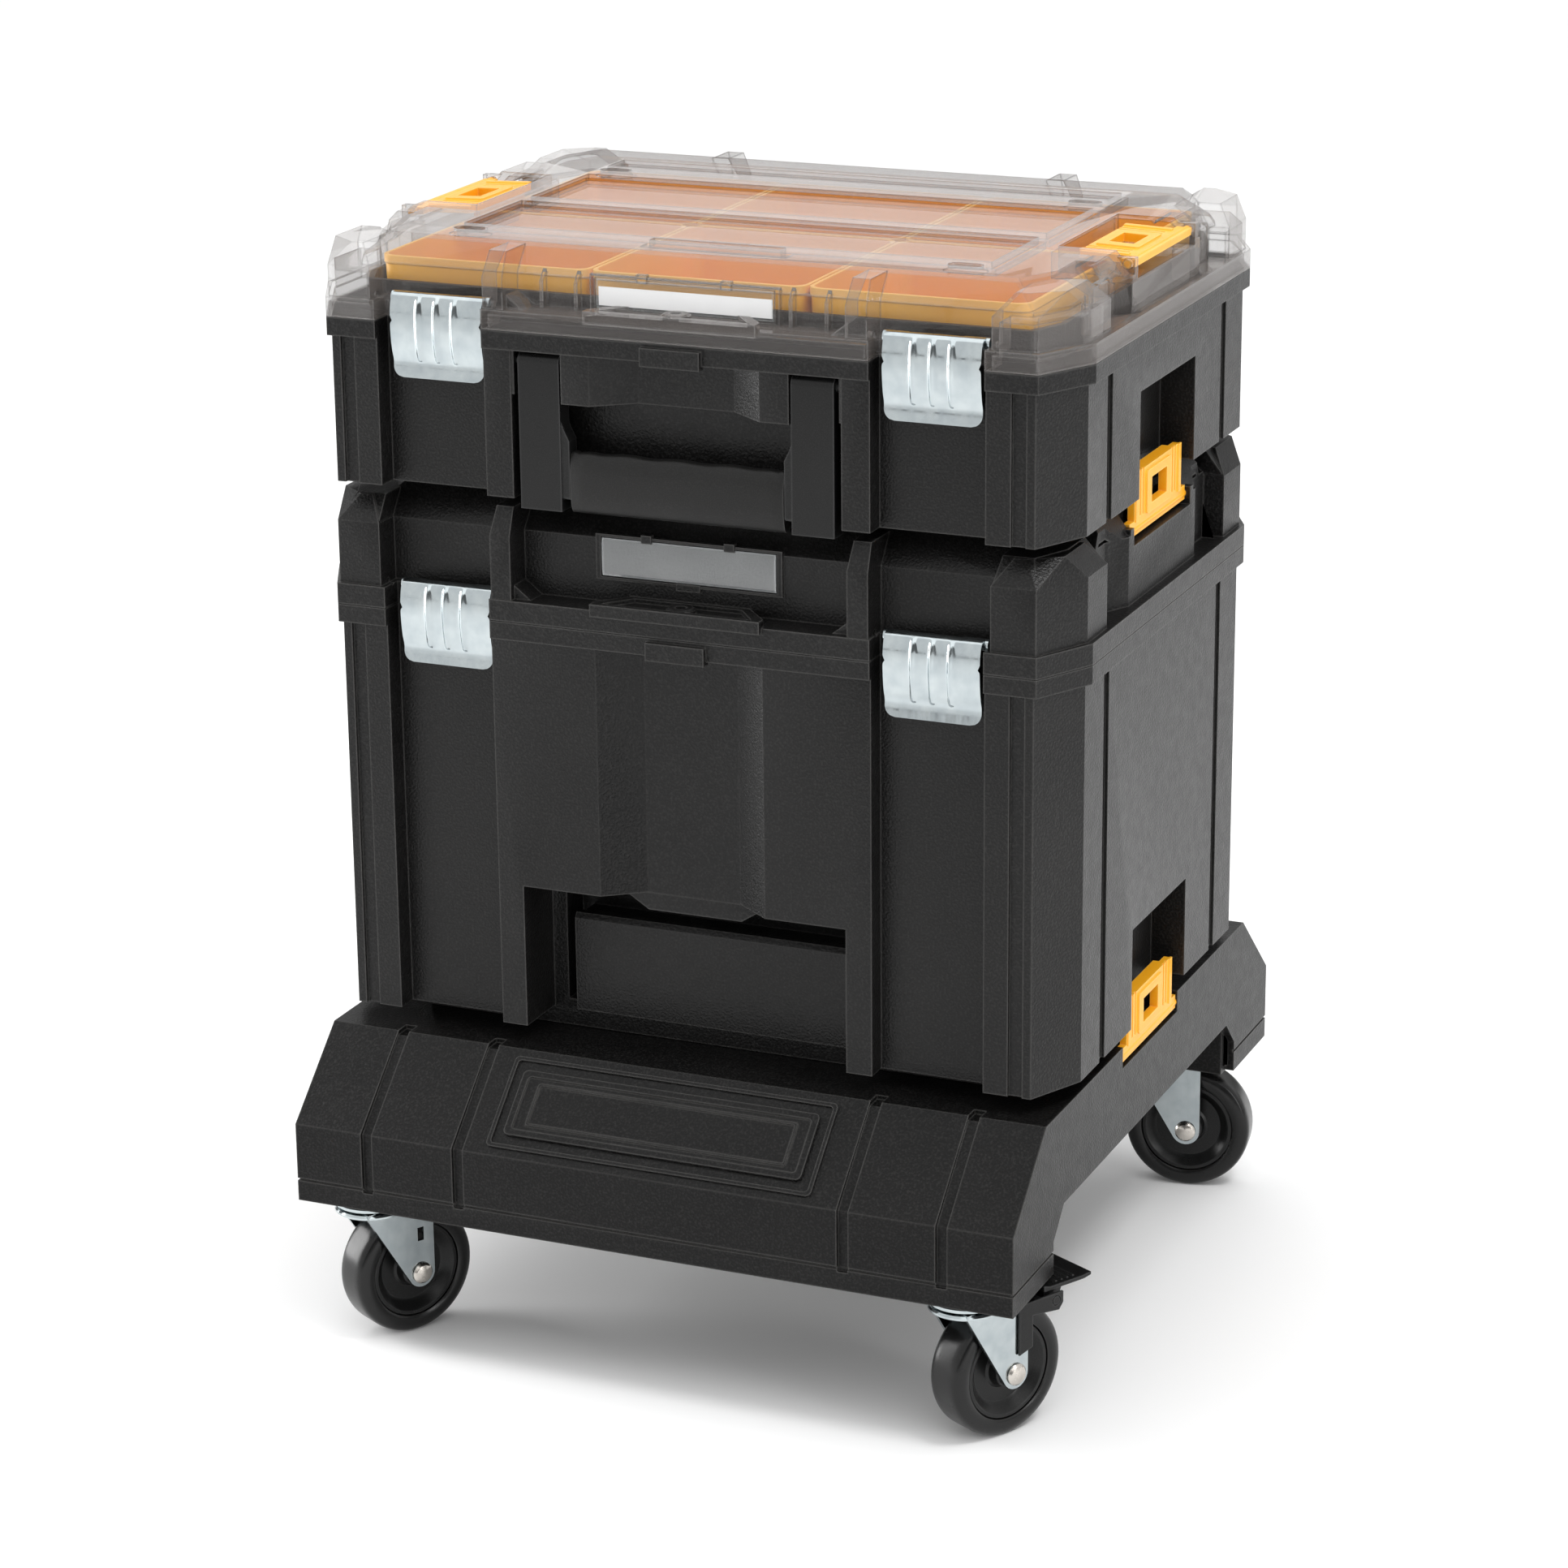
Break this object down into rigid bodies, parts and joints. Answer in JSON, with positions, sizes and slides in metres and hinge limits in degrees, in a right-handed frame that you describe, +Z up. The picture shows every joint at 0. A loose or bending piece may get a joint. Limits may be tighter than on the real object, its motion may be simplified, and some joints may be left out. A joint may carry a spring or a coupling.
{
  "type": "rolling tool box",
  "caption": "Wheeled cart on swivel casters carrying a deep latched tool box and a clear-lidded organiser with cups and a bail handle.",
  "frame": {"origin": "on the floor, under the middle of the cart", "axes": "+X to the right seen from the front, -Y towards the front latches, +Z up"},
  "size_m": [0.4547, 0.44, 0.617],
  "materials": {
    "black_shell": "fine moulded grain, satin",
    "black_grip": "soft-touch matt",
    "orange_plastic": "semi-gloss moulded",
    "clear_plastic": "smoky clear, polished",
    "white_card": "plain white",
    "zinc_steel": "bright zinc plated",
    "bolt_steel": "nickel plated",
    "tyre_rubber": "solid rubber, slightly polished",
    "hub_plastic": "satin",
    "brake_black": "black satin"
  },
  "bodies": {
    "cart": {"cart_body": "black_shell", "cart_badge": "black_shell", "caster_front_left_mount": "zinc_steel", "caster_front_right_mount": "zinc_steel", "caster_rear_right_mount": "zinc_steel", "caster_rear_left_mount": "zinc_steel"},
    "swivel_front_left": {"caster_front_left_fork": "zinc_steel", "caster_front_left_axle": "bolt_steel"},
    "wheel_front_left": {"caster_front_left_hub": "hub_plastic", "caster_front_left_tyre": "tyre_rubber"},
    "swivel_front_right": {"caster_front_right_fork": "zinc_steel", "caster_front_right_axle": "bolt_steel", "brake_front_right_bracket": "brake_black"},
    "wheel_front_right": {"caster_front_right_hub": "hub_plastic", "caster_front_right_tyre": "tyre_rubber"},
    "pedal_front_right": {"brake_front_right_pedal": "brake_black"},
    "swivel_rear_right": {"caster_rear_right_fork": "zinc_steel", "caster_rear_right_axle": "bolt_steel"},
    "wheel_rear_right": {"caster_rear_right_hub": "hub_plastic", "caster_rear_right_tyre": "tyre_rubber"},
    "swivel_rear_left": {"caster_rear_left_fork": "zinc_steel", "caster_rear_left_axle": "bolt_steel", "brake_rear_left_bracket": "brake_black"},
    "wheel_rear_left": {"caster_rear_left_hub": "hub_plastic", "caster_rear_left_tyre": "tyre_rubber"},
    "pedal_rear_left": {"brake_rear_left_pedal": "brake_black"},
    "cart_latch_left": {"cart_latch_left": "orange_plastic"},
    "cart_latch_right": {"cart_latch_right": "orange_plastic"},
    "lower_box": {"lower_tub": "black_shell", "lower_hinge_rod": "zinc_steel"},
    "lower_lid": {"lower_lid": "black_shell", "lower_label_window": "clear_plastic", "lower_latch_pin_left": "zinc_steel", "lower_latch_pin_right": "zinc_steel"},
    "lower_side_latch_left": {"lower_side_latch_left": "orange_plastic"},
    "lower_side_latch_right": {"lower_side_latch_right": "orange_plastic"},
    "lower_front_latch_left": {"lower_front_latch_left": "zinc_steel"},
    "lower_front_latch_right": {"lower_front_latch_right": "zinc_steel"},
    "upper_box": {"upper_tub": "black_shell", "upper_hinge_rod": "zinc_steel", "cup_front_left": "orange_plastic", "cup_front_middle": "orange_plastic", "cup_front_right": "orange_plastic", "cup_rear_left": "orange_plastic", "cup_rear_middle": "orange_plastic", "cup_rear_right": "orange_plastic"},
    "upper_lid": {"upper_lid": "clear_plastic", "upper_label_card": "white_card", "upper_label_window": "clear_plastic", "upper_latch_pin_left": "zinc_steel", "upper_latch_pin_right": "zinc_steel"},
    "upper_side_latch_left": {"upper_side_latch_left": "orange_plastic"},
    "upper_side_latch_right": {"upper_side_latch_right": "orange_plastic"},
    "upper_front_latch_left": {"upper_front_latch_left": "zinc_steel"},
    "upper_front_latch_right": {"upper_front_latch_right": "zinc_steel"},
    "bail": {"bail_handle": "black_shell", "bail_grip": "black_grip"}
  },
  "joints": [
    {"name": "swivel_front_left_turn", "type": "hinge", "parent": "cart", "child": "swivel_front_left", "pos_m": [-0.1775, -0.199, 0.08], "axis": [0, 0, 1], "continuous": true},
    {"name": "wheel_front_left_spin", "type": "hinge", "parent": "swivel_front_left", "child": "wheel_front_left", "pos_m": [-0.167, -0.18081, 0.0375], "axis": [-0.866, 0.5, 0], "continuous": true},
    {"name": "swivel_front_right_turn", "type": "hinge", "parent": "cart", "child": "swivel_front_right", "pos_m": [0.1775, -0.199, 0.08], "axis": [0, 0, 1], "continuous": true},
    {"name": "wheel_front_right_spin", "type": "hinge", "parent": "swivel_front_right", "child": "wheel_front_right", "pos_m": [0.18752, -0.18055, 0.0375], "axis": [-0.8788, 0.4772, 0], "continuous": true},
    {"name": "brake_front_right_press", "type": "hinge", "parent": "swivel_front_right", "child": "pedal_front_right", "pos_m": [0.2004, -0.15682, 0.073], "axis": [-0.8788, 0.4772, 0], "range_deg": [0, 12]},
    {"name": "swivel_rear_right_turn", "type": "hinge", "parent": "cart", "child": "swivel_rear_right", "pos_m": [0.1565, 0.18, 0.08], "axis": [0, 0, 1], "continuous": true},
    {"name": "wheel_rear_right_spin", "type": "hinge", "parent": "swivel_rear_right", "child": "wheel_rear_right", "pos_m": [0.17724, 0.18329, 0.0375], "axis": [-0.1564, 0.9877, 0], "continuous": true},
    {"name": "swivel_rear_left_turn", "type": "hinge", "parent": "cart", "child": "swivel_rear_left", "pos_m": [-0.1565, 0.18, 0.08], "axis": [0, 0, 1], "continuous": true},
    {"name": "wheel_rear_left_spin", "type": "hinge", "parent": "swivel_rear_left", "child": "wheel_rear_left", "pos_m": [-0.1738, 0.1681, 0.0375], "axis": [0.5667, -0.8239, 0], "continuous": true},
    {"name": "brake_rear_left_press", "type": "hinge", "parent": "swivel_rear_left", "child": "pedal_rear_left", "pos_m": [-0.19605, 0.1528, 0.073], "axis": [0.5667, -0.8239, 0], "range_deg": [0, 12]},
    {"name": "cart_latch_left_flip", "type": "hinge", "parent": "cart", "child": "cart_latch_left", "pos_m": [-0.209, 0, 0.167], "axis": [0, -1, 0], "range_deg": [0, 35]},
    {"name": "cart_latch_right_flip", "type": "hinge", "parent": "cart", "child": "cart_latch_right", "pos_m": [0.209, 0, 0.167], "axis": [0, 1, 0], "range_deg": [0, 35]},
    {"name": "lower_box_lift", "type": "slide", "parent": "cart", "child": "lower_box", "axis": [0, 0, 1], "range_m": [0, 0.15]},
    {"name": "lower_lid_open", "type": "hinge", "parent": "lower_box", "child": "lower_lid", "pos_m": [0, 0.1698, 0.416], "axis": [-1, 0, 0], "range_deg": [0, 100]},
    {"name": "lower_side_latch_left_flip", "type": "hinge", "parent": "lower_lid", "child": "lower_side_latch_left", "pos_m": [-0.209, 0, 0.465], "axis": [0, -1, 0], "range_deg": [0, 35]},
    {"name": "lower_side_latch_right_flip", "type": "hinge", "parent": "lower_lid", "child": "lower_side_latch_right", "pos_m": [0.209, 0, 0.465], "axis": [0, 1, 0], "range_deg": [0, 35]},
    {"name": "lower_front_latch_left_flip", "type": "hinge", "parent": "lower_lid", "child": "lower_front_latch_left", "pos_m": [-0.1415, -0.155, 0.429], "axis": [-1, 0, 0], "range_deg": [0, 100]},
    {"name": "lower_front_latch_right_flip", "type": "hinge", "parent": "lower_lid", "child": "lower_front_latch_right", "pos_m": [0.1415, -0.155, 0.429], "axis": [-1, 0, 0], "range_deg": [0, 100]},
    {"name": "upper_box_lift", "type": "slide", "parent": "lower_lid", "child": "upper_box", "axis": [0, 0, 1], "range_m": [0, 0.15]},
    {"name": "upper_lid_open", "type": "hinge", "parent": "upper_box", "child": "upper_lid", "pos_m": [0, 0.1698, 0.575], "axis": [-1, 0, 0], "range_deg": [0, 100]},
    {"name": "upper_side_latch_left_flip", "type": "hinge", "parent": "upper_lid", "child": "upper_side_latch_left", "pos_m": [-0.209, 0, 0.6105], "axis": [0, -1, 0], "range_deg": [0, 120]},
    {"name": "upper_side_latch_right_flip", "type": "hinge", "parent": "upper_lid", "child": "upper_side_latch_right", "pos_m": [0.209, 0, 0.6105], "axis": [0, 1, 0], "range_deg": [0, 120]},
    {"name": "upper_front_latch_left_flip", "type": "hinge", "parent": "upper_lid", "child": "upper_front_latch_left", "pos_m": [-0.1415, -0.155, 0.587], "axis": [-1, 0, 0], "range_deg": [0, 100]},
    {"name": "upper_front_latch_right_flip", "type": "hinge", "parent": "upper_lid", "child": "upper_front_latch_right", "pos_m": [0.1415, -0.155, 0.587], "axis": [-1, 0, 0], "range_deg": [0, 100]},
    {"name": "bail_swing", "type": "hinge", "parent": "upper_box", "child": "bail", "pos_m": [0, -0.157, 0.559], "axis": [-1, 0, 0], "range_deg": [0, 90]}
  ]
}
